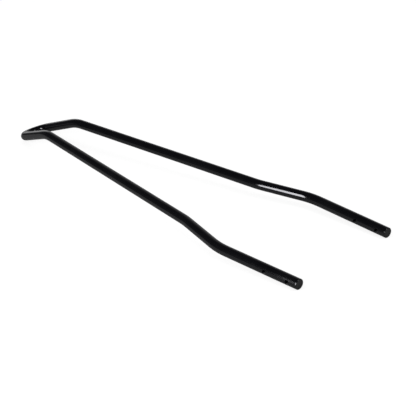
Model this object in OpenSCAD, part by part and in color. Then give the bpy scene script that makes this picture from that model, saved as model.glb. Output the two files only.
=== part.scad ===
// Sissy bar for a motorcycle: one round steel bar, bent into a tall narrow hoop.
// It is bolted through the holes near its two ends to the sides of a rear fender.
// The model lies on a table, at rest on both leg ends and on the underside of the arch.
// +X points from the arch to the drilled ends, +Y goes across the bar and +Z points up.

/* [Bar] */
// Diameter of the round bar
bar_d = 15.9; // [12:0.1:20]
// Width of the chamfer round each cut end
end_chamfer = 0.5; // [0.3:0.1:2]
// How much thinner bending leaves the bar
bend_draw = 0.04; // [0.02:0.01:0.2]

/* [Legs] */
// Distance between the axes of the two legs, at their cut ends
leg_spacing = 186; // [170:1:210]
// Length of a leg, from its cut end to the corner of the first bend
leg_len = 151; // [130:1:180]
// Angle at which each leg spreads outward from its cut end
leg_splay = 2.3; // [0:0.1:4]

/* [Bolt holes] */
// Diameter of the holes drilled across each leg
hole_d = 7; // [5:0.1:8.5]
// Distance from the cut end to the middle of the first hole
hole_inset = 16; // [12:0.5:25]
// Distance between the middles of the two holes in a leg
hole_pitch = 41; // [30:0.5:50]

/* [Jog and stays] */
// Length of the jog, from the first bend's corner to the second's
jog_len = 95; // [85:1:115]
// Angle at which the jog leans inward
jog_lean = 13.3; // [11:0.1:14]
// Length of a stay, from the second bend's corner to the kick's
stay_len = 410; // [300:5:440]
// Angle at which the stays lean inward
stay_lean = 6.3; // [5:0.1:6.5]
// Radius of the two bends beside the jog, at the middle of the bar
jog_bend_r = 120; // [60:1:160]

/* [Head] */
// Angle by which the head is kicked back from the plane of the stays
kick_angle = 21; // [12:0.5:30]
// Radius of the kick bends, at the middle of the bar
kick_bend_r = 80; // [50:1:100]
// Length of an arm, from the kick's corner to the start of the arch
arm_len = 82; // [60:1:95]
// Angle at which the arms lean inward, seen from above
arm_lean = 5.5; // [3:0.1:6.5]

/* [Hidden] */
$fn = 72;
bar_r = bar_d / 2;
bent_r = (bar_d - bend_draw) / 2;
drill_len = 2 * bar_d;
// How far a straight length covers the start of a bend
overrun = 0.1;

// Direction of a limb that leans inward and drops by the angles given
function heading(lean, drop) = [-cos(lean) * cos(drop), -sin(lean) * cos(drop), -sin(drop)];

// The limbs on the +Y side, from the cut end to the arch
leg_dir = heading(-leg_splay, 0);
jog_dir = heading(jog_lean, 0);
stay_dir = heading(stay_lean, 0);
arm_dir = heading(arm_lean, kick_angle);

// Corners where the axes of those limbs meet
leg_end = [0, leg_spacing / 2, 0];
jog_start = leg_end + leg_len * leg_dir;
stay_start = jog_start + jog_len * jog_dir;
kick_corner = stay_start + stay_len * stay_dir;
arch_start = kick_corner + arm_len * arm_dir;

// The arch is one arc that leaves both arms smoothly and crosses the middle plane
arm_slant = asin(-arm_dir.y);
arch_r = arch_start.y / cos(arm_slant);
arch_turn = 90 - arm_slant;
arch_side = unit([0, -1, 0] - dot([0, -1, 0], arm_dir) * arm_dir);
arch_centre = arch_start + arch_r * arch_side;
arch_tip = arch_centre + arch_r * unit([arm_dir.x, 0, arm_dir.z]);

// At rest a line runs from the edge of the leg's chamfer to the underside of the arch
contact_in = end_chamfer * cos(leg_splay);
reach = [-arch_tip.x - contact_in, arch_tip.z + bar_r];
rest_tilt = asin(bent_r / norm(reach)) - atan2(reach.y, reach.x);
lift = bar_r * cos(rest_tilt) - contact_in * sin(rest_tilt);

// Furthest points along X, which put the origin under the middle of the bar
end_face_x = (bar_r - end_chamfer) * sqrt(1 - pow(cos(leg_splay) * cos(rest_tilt), 2));
arch_face_x = arch_tip.x * cos(rest_tilt) + arch_tip.z * sin(rest_tilt) - bent_r;
middle_x = (end_face_x + arch_face_x) / 2;

function dot(a, b) = a * b;
function unit(v) = v / norm(v);
function turn_of(a, b) = acos(dot(a, b));
// How far before its corner a bend begins
function trim(a, b, r) = r * tan(turn_of(a, b) / 2);

// Puts what follows at a point, with its X and Y axes along the two directions given
module placed(at, x_dir, y_dir) {
    z_dir = cross(x_dir, y_dir);
    multmatrix([
        [x_dir.x, y_dir.x, z_dir.x, at.x],
        [x_dir.y, y_dir.y, z_dir.y, at.y],
        [x_dir.z, y_dir.z, z_dir.z, at.z],
        [0, 0, 0, 1]
    ]) children();
}

// Puts what follows at a point, with its Z axis along the direction given
module aimed(at, z_dir) {
    x_dir = unit(cross([0, 0, 1], z_dir));
    placed(at, x_dir, cross(z_dir, x_dir)) children();
}

// A straight length of bar, between two distances from a corner
module straight(corner, dir, start, stop) {
    aimed(corner + (start - overrun) * dir, dir)
        cylinder(h = stop - start + 2 * overrun, r = bar_r);
}

// An arc of bar that leaves a point along a direction and curves towards the side given
module arc(from, dir, side, r, turn) {
    placed(from + r * side, -side, dir)
        rotate_extrude(angle = turn) translate([r, 0]) circle(r = bent_r);
}

// A bend at a corner, from the first direction to the second
module bend(corner, a, b, r) {
    arc(corner - trim(a, b, r) * a, a, unit(b - dot(a, b) * a), r, turn_of(a, b));
}

// A leg, from its chamfered cut end to the first bend, with the holes drilled across it
module leg() {
    len = leg_len - trim(leg_dir, jog_dir, jog_bend_r) + overrun;
    difference() {
        aimed(leg_end, leg_dir) rotate_extrude()
            polygon([[0, 0], [bar_r - end_chamfer, 0], [bar_r, end_chamfer], [bar_r, len], [0, len]]);
        for (along = [hole_inset, hole_inset + hole_pitch])
            translate(leg_end + along * leg_dir)
                rotate([90, 0, 0]) cylinder(h = drill_len, d = hole_d, center = true);
    }
}

// Everything on one side, from the cut end to the start of the arch
module side() {
    jog_trim = trim(leg_dir, jog_dir, jog_bend_r);
    stay_trim = trim(jog_dir, stay_dir, jog_bend_r);
    kick_trim = trim(stay_dir, arm_dir, kick_bend_r);
    leg();
    bend(jog_start, leg_dir, jog_dir, jog_bend_r);
    straight(jog_start, jog_dir, jog_trim, jog_len - stay_trim);
    bend(stay_start, jog_dir, stay_dir, jog_bend_r);
    straight(stay_start, stay_dir, stay_trim, stay_len - kick_trim);
    bend(kick_corner, stay_dir, arm_dir, kick_bend_r);
    straight(kick_corner, arm_dir, kick_trim, arm_len);
}

// The whole bar, laid down on the table
module bar() {
    color([0.05, 0.05, 0.055])
    translate([-middle_x, 0, lift])
    rotate([0, rest_tilt, 0])
    union() {
        side();
        mirror([0, 1, 0]) side();
        arc(arch_start, arm_dir, arch_side, arch_r, 2 * arch_turn);
    }
}

bar();
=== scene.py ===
# Sissy bar for a motorcycle: one round steel bar bent into a tall narrow hoop, painted gloss black.
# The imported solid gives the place. The bar shown is a fine mesh of the same bends, holes and cut ends.
from math import asin, atan2, cos, hypot, pi, radians, sin, sqrt, tan

import bmesh
import bpy
from mathutils import Matrix, Quaternion, Vector


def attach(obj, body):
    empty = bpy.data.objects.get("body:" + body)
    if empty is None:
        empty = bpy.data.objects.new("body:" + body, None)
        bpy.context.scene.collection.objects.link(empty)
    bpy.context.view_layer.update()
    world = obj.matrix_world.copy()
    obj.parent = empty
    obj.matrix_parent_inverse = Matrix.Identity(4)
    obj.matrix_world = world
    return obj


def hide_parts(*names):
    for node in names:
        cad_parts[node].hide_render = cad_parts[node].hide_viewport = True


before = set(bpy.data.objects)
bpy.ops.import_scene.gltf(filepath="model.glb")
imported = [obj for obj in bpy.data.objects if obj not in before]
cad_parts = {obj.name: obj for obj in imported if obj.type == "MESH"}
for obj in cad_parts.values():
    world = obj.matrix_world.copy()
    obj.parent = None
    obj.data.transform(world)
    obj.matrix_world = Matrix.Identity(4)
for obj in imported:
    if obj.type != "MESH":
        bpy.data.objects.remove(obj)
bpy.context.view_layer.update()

mm = 0.001
acrossBar = Vector((0, 1, 0))
upward = Vector((0, 0, 1))
white = (1, 1, 1, 1)


# One output socket. Expressions on it add Math nodes, and make() adds any other node.
class Wire:
    def __init__(self, tree, socket=None):
        self.tree = tree
        self.socket = socket

    def make(self, kind, settings=None, inputs=None, output=0):
        node = self.tree.nodes.new(kind)
        for name, value in (settings or {}).items():
            setattr(node, name, value)
        for name, value in (inputs or {}).items():
            if isinstance(value, Wire):
                self.tree.links.new(value.socket, node.inputs[name])
            else:
                node.inputs[name].default_value = value
        return Wire(self.tree, node.outputs[output])

    def maths(self, operation, first, second):
        return self.make("ShaderNodeMath", {"operation": operation}, {0: first, 1: second})

    def __add__(self, other):
        return self.maths("ADD", self, other)

    def __sub__(self, other):
        return self.maths("SUBTRACT", self, other)

    def __rsub__(self, other):
        return self.maths("SUBTRACT", other, self)

    def __mul__(self, other):
        return self.maths("MULTIPLY", self, other)

    __radd__ = __add__
    __rmul__ = __mul__

    # Runs smoothly from one value to another while this wire runs between two limits
    def ramp(self, limits, first, last):
        return self.make("ShaderNodeMapRange", {"interpolation_type": "SMOOTHSTEP"}, {
            "Value": self, "From Min": limits[0], "From Max": limits[1], "To Min": first, "To Max": last,
        })


# Noise whose grains are about the size given, in metres
def noiseAt(wire, place, size, detail, roughness):
    return wire.make("ShaderNodeTexNoise", {"noise_dimensions": "3D"}, {
        "Vector": place, "Scale": 1 / size, "Detail": detail, "Roughness": roughness,
    })


def mixColours(wire, share, first, second):
    return wire.make("ShaderNodeMix", {"data_type": "RGBA"}, {0: share, 6: first, 7: second}, 2)


# The cosine of the angle between two directions
def alignment(wire, way, other):
    return wire.make("ShaderNodeVectorMath", {"operation": "DOT_PRODUCT"}, {0: way, 1: other}, "Value")


# A new material, a wire on its tree, and its output node
def newMaterial(name):
    material = bpy.data.materials.new(name)
    material.use_nodes = True
    material.node_tree.nodes.clear()
    output = material.node_tree.nodes.new("ShaderNodeOutputMaterial")
    return material, Wire(material.node_tree), output


# The bar

bar = {
    "diameter": 15.9,  # mm and degrees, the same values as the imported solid's
    "bendDraw": 0.04,
    "endChamfer": 0.5,
    "legSpacing": 186,
    "legLength": 151,
    "legSplay": 2.3,
    "holeDiameter": 7,
    "holeInset": 16,
    "holePitch": 41,
    "jogLength": 95,
    "jogLean": 13.3,
    "stayLength": 410,
    "stayLean": 6.3,
    "jogBendRadius": 120,
    "kickAngle": 21,
    "kickBendRadius": 80,
    "armLength": 82,
    "armLean": 5.5,
    "pointsRound": 96,
    "degreesPerStep": 2.4,
    "fewestSteps": 3,
    "windowPoints": 22,  # of the points round the bar, those that the patch round a hole takes
    "windowHalf": 5.4,  # how far the patch reaches along the leg, each way
    "ringsAroundHole": 5,
    "rimRounding": 0.3,  # what paint and a deburring tool leave on a hole's rim
    "rimSteps": 3,
    "edgeRounding": 0.14,
    "edgeSteps": 2,
    "easeLength": 1.1,  # the filed edge behind the chamfer turns in a little
    "easeDrop": 0.08,
    "easeSteps": 5,
    "supportRing": 0.3,  # keeps the shading of a rounded edge close to it
    "mergeReach": 0.001,
}


# Direction of a limb that leans inward and drops by the angles given
def heading(lean, drop):
    lean, drop = radians(lean), radians(drop)
    return Vector((-cos(lean) * cos(drop), -sin(lean) * cos(drop), -sin(drop)))


# The limbs' directions and corners on the +Y side, in the plane of the legs
legWay = heading(-bar["legSplay"], 0)
jogWay = heading(bar["jogLean"], 0)
stayWay = heading(bar["stayLean"], 0)
armWay = heading(bar["armLean"], bar["kickAngle"])
legEnd = acrossBar * bar["legSpacing"] / 2
jogCorner = legEnd + bar["legLength"] * legWay
stayCorner = jogCorner + bar["jogLength"] * jogWay
kickCorner = stayCorner + bar["stayLength"] * stayWay
archStart = kickCorner + bar["armLength"] * armWay
archSlant = asin(-armWay.y)
archRadius = archStart.y / cos(archSlant)
archSide = (-acrossBar - (-acrossBar).dot(armWay) * armWay).normalized()
archTip = archStart + archRadius * (archSide + Vector((armWay.x, 0, armWay.z)).normalized())
holePlaces = [bar["holeInset"], bar["holeInset"] + bar["holePitch"]]

# The turn and the lift that lay the bar on the leg ends and on the arch's underside
fullRadius = bar["diameter"] / 2
barRadius = fullRadius - bar["bendDraw"] / 2
contactIn = bar["endChamfer"] * cos(radians(bar["legSplay"]))
reachBack, reachUp = -archTip.x - contactIn, archTip.z + fullRadius
restTilt = asin(barRadius / hypot(reachBack, reachUp)) - atan2(reachUp, reachBack)
lift = fullRadius * cos(restTilt) - contactIn * sin(restTilt)
endShare = sqrt(1 - (cos(radians(bar["legSplay"])) * cos(restTilt)) ** 2)
endFace = (fullRadius - bar["endChamfer"]) * endShare
archFace = archTip.x * cos(restTilt) + archTip.z * sin(restTilt) - barRadius
layDown = Matrix.Translation((-(endFace + archFace) / 2, 0, lift)) @ Matrix.Rotation(restTilt, 4, "Y")


# Each of them once, in the order in which they come
def inOrder(parts):
    return list(dict.fromkeys(parts))


# Carries an open ring of edges along a straight, and gives back the new ring
def extrudeRing(bm, ring, step):
    made = bmesh.ops.extrude_edge_only(bm, edges=ring)["geom"]
    bmesh.ops.translate(bm, verts=[v for v in made if isinstance(v, bmesh.types.BMVert)], vec=step)
    return [e for e in made if isinstance(e, bmesh.types.BMEdge) and e.is_boundary]


# Scales a ring of the leg about the leg's axis
def growRing(bm, ring, along, grow):
    middle = Matrix.Translation(-(legEnd + along * legWay))
    verts = inOrder(v for e in ring for v in e.verts)
    bmesh.ops.scale(bm, verts=verts, vec=(grow, grow, grow), space=middle)
    return ring


# Carries an open ring of edges round a bend, which curves from one direction towards another
def spinRing(bm, ring, start, way, side, radius, turn):
    steps = max(bar["fewestSteps"], round(turn * 180 / pi / bar["degreesPerStep"]))
    made = bmesh.ops.spin(
        bm, geom=ring, cent=start + radius * side, axis=way.cross(side), angle=turn,
        steps=steps, use_duplicate=False, space=Matrix.Identity(4),
    )["geom_last"]
    return [e for e in made if isinstance(e, bmesh.types.BMEdge)]


# How far before its corner a bend begins
def bendTrim(first, second, radius):
    return radius * tan(first.angle(second) / 2)


# The point of the leg's skin that a point off it meets along a direction
def dropOnLeg(point, way):
    offAxis = point - legEnd
    offAxis -= offAxis.dot(legWay) * legWay
    flatWay = way - way.dot(legWay) * legWay
    half = offAxis.dot(flatWay) / flatWay.length_squared
    spare = (offAxis.length_squared - barRadius ** 2) / flatWay.length_squared
    return point - (half + sqrt(half ** 2 - spare)) * way


# The point of the leg's skin that is nearest to a point
def onLegSkin(point):
    along = legEnd + (point - legEnd).dot(legWay) * legWay
    return along + (point - along).normalized() * barRadius


# The cut face, its chamfer and the eased skin behind it. Gives back the ring that the leg goes on
# from, how far along the leg it is, and the edges that are rounded in the end.
def startLeg(bm):
    print("bar: the cut end")
    easedRadius = barRadius - bar["easeDrop"]
    faceRadius = easedRadius - bar["endChamfer"]
    endFrame = Matrix((legWay.cross(upward), upward, legWay)).transposed().to_4x4()
    bmesh.ops.create_circle(
        bm, cap_ends=True, segments=bar["pointsRound"], radius=faceRadius,
        matrix=Matrix.Translation(legEnd) @ endFrame,
    )
    faceEdges = list(bm.faces[:][0].edges)
    done = bar["endChamfer"]
    ring = growRing(bm, extrudeRing(bm, faceEdges, done * legWay), done, easedRadius / faceRadius)
    cutEdges = faceEdges + list(ring)
    radius = easedRadius
    stepLength = bar["easeLength"] / bar["easeSteps"]
    for step in range(1, bar["easeSteps"] + 1):
        left = 1 - step / bar["easeSteps"]
        done += stepLength
        wanted = barRadius - bar["easeDrop"] * left ** 2
        ring = growRing(bm, extrudeRing(bm, ring, stepLength * legWay), done, wanted / radius)
        radius = wanted
    return ring, done, cutEdges


# The leg past its eased end, with rings close together only where the patch round a hole is cut
def runLeg(bm, ring, done):
    print("bar: the leg")
    ring = extrudeRing(bm, ring, bar["supportRing"] * legWay)
    done += bar["supportRing"]
    patchStep = 2 * bar["windowHalf"] / bar["windowPoints"]
    for hole in holePlaces:
        ring = extrudeRing(bm, ring, (hole - bar["windowHalf"] - done) * legWay)
        for step in range(bar["windowPoints"]):
            ring = extrudeRing(bm, ring, patchStep * legWay)
        done = hole + bar["windowHalf"]
    return ring, done


# Everything from the last hole to the middle of the arch
def runBends(bm, ring, done):
    print("bar: the jog, the stay, the kick and the arch")
    bends = [
        (jogCorner, legWay, jogWay, bar["jogBendRadius"]),
        (stayCorner, jogWay, stayWay, bar["jogBendRadius"]),
        (kickCorner, stayWay, armWay, bar["kickBendRadius"]),
    ]
    at = legEnd + done * legWay
    for corner, first, second, radius in bends:
        trim = bendTrim(first, second, radius)
        bendStart = corner - trim * first
        ring = extrudeRing(bm, ring, bendStart - at)
        side = (second - second.dot(first) * first).normalized()
        ring = spinRing(bm, ring, bendStart, first, side, radius, first.angle(second))
        at = corner + trim * second
    ring = extrudeRing(bm, ring, archStart - at)
    ring = spinRing(bm, ring, archStart, armWay, archSide, archRadius, pi / 2 - archSlant)
    for vert in inOrder(v for e in ring for v in e.verts):
        vert.co.y = 0


# Cuts a patch out of the leg's skin round one mouth of a hole and closes it up to a round rim
def openMouth(bm, centre, facing):
    def inPatch(face):
        middle = face.calc_center_median() - centre
        along = middle.dot(legWay) - facing.dot(legWay) * barRadius
        offAxis = middle - middle.dot(legWay) * legWay
        halfTurn = pi * bar["windowPoints"] / bar["pointsRound"]
        return abs(along) < bar["windowHalf"] and offAxis.angle(facing) < halfTurn

    patch = [f for f in bm.faces if inPatch(f)]
    border = [e for f in patch for e in f.edges if sum(g in patch for g in e.link_faces) == 1]
    bmesh.ops.delete(bm, geom=patch, context="FACES")

    # The rim is drawn as a circle beyond the skin and then drops onto it
    turned = Matrix.Rotation(pi / 2, 4, "X")
    rim = bmesh.ops.create_circle(
        bm, segments=len(border), radius=bar["holeDiameter"] / 2,
        matrix=Matrix.Translation(centre + facing * bar["diameter"]) @ turned,
    )["verts"]
    for vert in rim:
        vert.co = dropOnLeg(vert.co, -facing)
    rimEdges = inOrder(e for v in rim for e in v.link_edges)
    joined = bmesh.ops.bridge_loops(bm, edges=border + rimEdges)
    across = [e for e in joined["edges"] if e not in border and e not in rimEdges]
    made = bmesh.ops.subdivide_edges(bm, edges=across, cuts=bar["ringsAroundHole"], use_grid_fill=True)
    for vert in [v for v in made["geom_inner"] if isinstance(v, bmesh.types.BMVert)]:
        vert.co = onLegSkin(vert.co)
    return rimEdges


# Joins the two mouths of each hole, and gives back the edges of their rims
def drillHoles(bm):
    print("bar: the bolt holes")
    rims = []
    for hole in holePlaces:
        centre = legEnd + hole * legWay
        mouths = [openMouth(bm, centre, way) for way in (acrossBar, -acrossBar)]
        bmesh.ops.bridge_loops(bm, edges=mouths[0] + mouths[1])
        rims += mouths[0] + mouths[1]
    return rims


def roundEdges(bm, edges, width, steps):
    bmesh.ops.bevel(
        bm, geom=edges, offset=width, segments=steps, profile=0.5, affect="EDGES", material=-1,
    )


# Numbers the parts by their places, because the operators hand them back in another order each run
def fixOrder(bm):
    for number, vert in enumerate(sorted(bm.verts, key=lambda v: v.co[:])):
        vert.index = number
    bm.verts.sort()
    for parts in (bm.edges, bm.faces):
        for number, part in enumerate(sorted(parts, key=lambda p: sorted(v.index for v in p.verts))):
            part.index = number
        parts.sort()


def buildBar():
    bm = bmesh.new()
    ring, done, cutEdges = startLeg(bm)
    ring, done = runLeg(bm, ring, done)
    runBends(bm, ring, done)
    roundEdges(bm, drillHoles(bm), bar["rimRounding"], bar["rimSteps"])
    roundEdges(bm, [e for e in cutEdges if e.is_valid], bar["edgeRounding"], bar["edgeSteps"])
    disc = max(bm.faces, key=lambda f: len(f.verts))
    bmesh.ops.inset_region(bm, faces=[disc], thickness=bar["supportRing"])

    print("bar: the other side")
    reach = bar["mergeReach"]
    bmesh.ops.mirror(bm, geom=bm.verts[:] + bm.edges[:] + bm.faces[:], axis="Y", merge_dist=reach)
    bmesh.ops.remove_doubles(bm, verts=bm.verts, dist=reach)
    bmesh.ops.recalc_face_normals(bm, faces=bm.faces)
    bmesh.ops.transform(bm, matrix=Matrix.Scale(mm, 4) @ layDown, verts=bm.verts)
    fixOrder(bm)
    print("bar: open edges", sum(not e.is_manifold for e in bm.edges), "faces", len(bm.faces))
    for face in bm.faces:
        face.smooth = True
    mesh = bpy.data.meshes.new("paintedBar")
    bm.to_mesh(mesh)
    bm.free()
    piece = bpy.data.objects.new("paintedBar", mesh)
    bpy.context.scene.collection.objects.link(piece)
    return piece


# Gloss black paint

paint = {
    "black": (0.0024, 0.0024, 0.0033, 1),
    "worn": (0.0044, 0.0044, 0.0055, 1),
    "sawn": (0.0065, 0.0065, 0.0075, 1),  # dust and thin paint on the ridges a saw left on the cut ends
    "sawStep": 0.0011,
    "sawDepth": 0.00002,
    "sawContrast": (0.25, 0.8),
    "cutReach": (0.0001, 0.0004),  # metres from the cut plane, over which the saw lines end
    "boreLight": (0.11, 0.11, 0.115, 1),  # painted light: the lower wall of the bolt holes made pale, as if lit through the mouth
    "boreLightRoughness": 0.5,
    "boreLightSpecks": (0.3, 0.7),
    "boreLightHeight": (-0.0035, -0.0019),  # metres above the hole's axis, over which the painted light on the lower wall ends
    "boreReach": (0.00003, 0.00015),  # metres past the wall of a hole, over which the painted light ends
    "roughness": (0.1, 0.14),  # of fresh paint and of worn paint
    "refraction": 1.5,
    "sheenTint": (0.95, 0.95, 1, 1),  # the gloss is a touch cool
    "peelSize": 0.0022,  # metres, the spacing of the paint's orange peel
    "peelDepth": 0.000004,
    "specks": 0.0006,
    "speckle": 0.01,  # how much the specks change the roughness
    "cloud": 0.045,  # metres, the size of the worn patches
    "wornFrom": (0.4, 0.72),  # of the cloud's noise, where wear starts and where it is full
    "wornSpecks": (0.35, 0.7),
}

wavePeriod = 0.314  # from ridge to ridge, in a wave texture whose scale is 1


def makePaint():
    print("paint: gloss black")
    material, wire, output = newMaterial("glossBlackPaint")
    place = wire.make("ShaderNodeTexCoord", output="Object")
    cloud = noiseAt(wire, place, paint["cloud"], 3, 0.55)
    specks = noiseAt(wire, place, paint["specks"], 2, 0.6)
    peel = noiseAt(wire, place, paint["peelSize"], 2, 0.45)
    split = wire.make("ShaderNodeSeparateXYZ", None, {0: place}).socket.node
    x, y, z = [Wire(wire.tree, split.outputs[name]) for name in "XYZ"]

    # How far a point is from the plane of the nearer cut end
    cutPoint, cutWay = layDown @ legEnd * mm, layDown.to_3x3() @ legWay
    side = wire.make("ShaderNodeMath", {"operation": "ABSOLUTE"}, {0: y})
    depth = (x - cutPoint.x) * cutWay.x + (side - cutPoint.y) * cutWay.y + (z - cutPoint.z) * cutWay.z
    onCut = depth.ramp(paint["cutReach"], 1, 0)
    saw = wire.make("ShaderNodeTexWave", {"bands_direction": "Z"}, {
        "Vector": place, "Scale": wavePeriod / paint["sawStep"],
        "Distortion": 3, "Detail": 2, "Detail Scale": 0.6,
    }, "Fac")

    # How near a point is to the axis of a bolt hole, which runs along Y
    offAxis = []
    for hole in holePlaces:
        centre = layDown @ (legEnd + hole * legWay) * mm
        offAxis.append((x - centre.x) * (x - centre.x) + (z - centre.z) * (z - centre.z))
    boreRadius = bar["holeDiameter"] / 2 * mm
    nearest = wire.maths("SQRT", wire.maths("MINIMUM", offAxis[0], offAxis[1]), 0)
    upWay = layDown.to_3x3() @ upward
    height = (x - cutPoint.x) * upWay.x + (z - cutPoint.z) * upWay.z
    inBore = nearest.ramp([boreRadius + reach for reach in paint["boreReach"]], 1, 0)
    # Painted light: the lower wall of each bolt hole is made pale, as if lit, with specks and a rougher
    # finish there
    paintedBoreLight = inBore * height.ramp(paint["boreLightHeight"], 1, 0)

    tired = cloud.ramp(paint["wornFrom"], 0, 1)
    wear = tired * specks.ramp(paint["wornSpecks"], 0.3, 1)
    tone = mixColours(wire, wear, paint["black"], paint["worn"])
    tone = mixColours(wire, onCut * saw.ramp(paint["sawContrast"], 0, 1), tone, paint["sawn"])
    # Painted light on the lower wall of the bolt holes
    tone = mixColours(wire, paintedBoreLight * specks.ramp(paint["boreLightSpecks"], 0.6, 1), tone, paint["boreLight"])
    fresh, dull = paint["roughness"]
    roughness = tired.ramp((0, 1), fresh, dull) + (specks - 0.5) * paint["speckle"]
    roughness = roughness + paintedBoreLight * (paint["boreLightRoughness"] - dull)
    relief = peel * paint["peelDepth"] + onCut * saw * paint["sawDepth"]
    bump = wire.make("ShaderNodeBump", None, {"Height": relief, "Distance": 1, "Strength": 1})
    shader = wire.make("ShaderNodeBsdfPrincipled", None, {
        "Base Color": tone, "Roughness": roughness, "IOR": paint["refraction"],
        "Specular Tint": paint["sheenTint"], "Normal": bump,
    })
    material.node_tree.links.new(shader.socket, output.inputs["Surface"])
    return material


paintedBar = buildBar()
paintedBar.data.materials.append(makePaint())
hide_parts("bar")
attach(paintedBar, "root")


# The floor and the surroundings. The camera sees white, gloss sees a dimmer room with a dark side,
# and all other light comes softly from all round.

studio = {
    "floorSize": 12,
    "floorTone": 0.27,  # the floor's own colour
    "floorGrain": 0.02,  # how much lighter its grains are
    "grainSize": 0.0025,
    "floorRoughness": 0.9,
    "floorWhite": 0.8,  # what the camera sees added to it
    "floorGloss": 0.03,  # what gloss sees added to it
    "soft": 0.65,  # light from all round
    "horizon": 0.5,  # what gloss sees low down behind the bar
    "upper": 0.02,  # what gloss sees overhead
    "upperFrom": (0.12, 0.72),  # sines of the heights between which the one turns into the other
    "darkSide": -112,  # degrees, where the room beyond the floor is dark
    "darkFrom": (-0.15, 0.5),  # cosines of the angles from it between which the dark sets in
    "darkShare": 0.1,
    "cardSide": 158,  # degrees, where gloss sees a pale card beyond the arch
    "cardHeight": 9,
    "cardFades": (18, 6),  # degrees from the card's middle, where it starts and where it is whole
    "cardGlow": 0.65,
}


# Whether the camera sees a surface, straight or through glass, and whether gloss sees it
def viewers(wire):
    path = wire.tree.nodes.new("ShaderNodeLightPath")
    names = ("Is Camera Ray", "Is Transmission Ray", "Is Glossy Ray")
    direct, through, gloss = [Wire(wire.tree, path.outputs[name]) for name in names]
    return direct + through, gloss


def makeFloor():
    print("studio: floor")
    bm = bmesh.new()
    bmesh.ops.create_grid(bm, x_segments=1, y_segments=1, size=studio["floorSize"])
    mesh = bpy.data.meshes.new("floor")
    bm.to_mesh(mesh)
    bm.free()
    floor = bpy.data.objects.new("floor", mesh)
    bpy.context.scene.collection.objects.link(floor)
    material, wire, output = newMaterial("paleFloor")
    seen, glossed = viewers(wire)
    strength = seen * studio["floorWhite"] + glossed * studio["floorGloss"]
    place = wire.make("ShaderNodeTexCoord", output="Object")
    grain = noiseAt(wire, place, studio["grainSize"], 2, 0.5)
    tones = [(tone, tone, tone, 1) for tone in (
        studio["floorTone"], studio["floorTone"] + studio["floorGrain"],
    )]
    shader = wire.make("ShaderNodeBsdfPrincipled", None, {
        "Base Color": mixColours(wire, grain, *tones), "Roughness": studio["floorRoughness"],
        "Specular IOR Level": 0, "Emission Color": white, "Emission Strength": strength,
    })
    material.node_tree.links.new(shader.socket, output.inputs["Surface"])
    mesh.materials.append(material)


def makeWorld():
    print("studio: surroundings")
    world = bpy.data.worlds.new("studio")
    bpy.context.scene.world = world
    world.use_nodes = True
    tree = world.node_tree
    tree.nodes.clear()
    wire = Wire(tree)
    seen, glossed = viewers(wire)
    way = wire.make("ShaderNodeTexCoord", output="Generated")
    height = wire.make("ShaderNodeSeparateXYZ", None, {0: way}, "Z")
    level = wire.make("ShaderNodeVectorMath", {"operation": "MULTIPLY"}, {0: way, 1: (1, 1, 0)})
    level = wire.make("ShaderNodeVectorMath", {"operation": "NORMALIZE"}, {0: level})
    darkTurn = radians(studio["darkSide"])
    towardsDark = alignment(wire, level, (cos(darkTurn), sin(darkTurn), 0))
    lightShare = towardsDark.ramp(studio["darkFrom"], 1, studio["darkShare"])
    low, high = studio["upperFrom"]
    sweep = wire.make("ShaderNodeMapRange", None, {
        "Value": height, "From Min": low, "From Max": high,
        "To Min": studio["horizon"], "To Max": studio["upper"],
    })

    turn, tilt = radians(studio["cardSide"]), radians(studio["cardHeight"])
    nearCard = alignment(wire, way, (cos(turn) * cos(tilt), sin(turn) * cos(tilt), sin(tilt)))
    card = nearCard.ramp([cos(radians(angle)) for angle in studio["cardFades"]], 0, studio["cardGlow"])
    glossView = wire.maths("MAXIMUM", sweep * lightShare, studio["upper"]) + card
    strength = seen + glossed * glossView + (1 - seen - glossed) * studio["soft"]
    back = wire.make("ShaderNodeBackground", None, {"Color": white, "Strength": strength})
    output = tree.nodes.new("ShaderNodeOutputWorld")
    tree.links.new(back.socket, output.inputs["Surface"])


# The lamps, each aimed at a point from a direction. Sizes and distances are in metres.

lamps = {
    "key": {
        "aim": (0.1865, 0.085, 0.018),  # the jog whose paint shows the lamp
        "way": (-0.2196, -0.919, 0.3279),
        "distance": 1.55,
        "size": (0.294, 1.07),
        "power": 16,
    },
    "side": {  # wide and soft beyond the cut ends, for the gloss seen from behind
        "aim": (0, 0, 0.02),
        "way": (0.66, 0.2, 0.72),
        "distance": 2,
        "size": (0.5, 0.9),
        "power": 6,
    },
}


def makeLamp(name):
    print("studio:", name, "lamp")
    settings = lamps[name]
    lamp = bpy.data.lights.new(name + "Lamp", "AREA")
    lamp.shape = "RECTANGLE"
    lamp.size, lamp.size_y = settings["size"]
    lamp.energy = settings["power"]
    holder = bpy.data.objects.new(name + "Lamp", lamp)
    bpy.context.scene.collection.objects.link(holder)
    way = Vector(settings["way"]).normalized()
    holder.location = Vector(settings["aim"]) + settings["distance"] * way
    holder.rotation_mode = "QUATERNION"
    holder.rotation_quaternion = (-way).to_track_quat("-Z", "Y")


# The camera, from the fit to the photo

photoView = {
    "place": (1.29993, -1.04322, 0.78903),
    "aim": (0.10118, -0.00153, 0.00004),
    "roll": -5.103,
    "lens": 99.027,
    "sensor": 36,
}


def makeCamera():
    print("studio: camera")
    camera = bpy.data.cameras.new("photoView")
    camera.sensor_width = photoView["sensor"]
    camera.lens = photoView["lens"]
    holder = bpy.data.objects.new("photoView", camera)
    bpy.context.scene.collection.objects.link(holder)
    holder.location = photoView["place"]
    look = Vector(photoView["aim"]) - Vector(photoView["place"])
    holder.rotation_mode = "QUATERNION"
    roll = Quaternion(upward, radians(photoView["roll"]))
    holder.rotation_quaternion = look.to_track_quat("-Z", "Y") @ roll
    bpy.context.scene.camera = holder


makeFloor()
makeWorld()
makeLamp("key")
makeLamp("side")
makeCamera()
bpy.context.scene.view_settings.view_transform = "Standard"
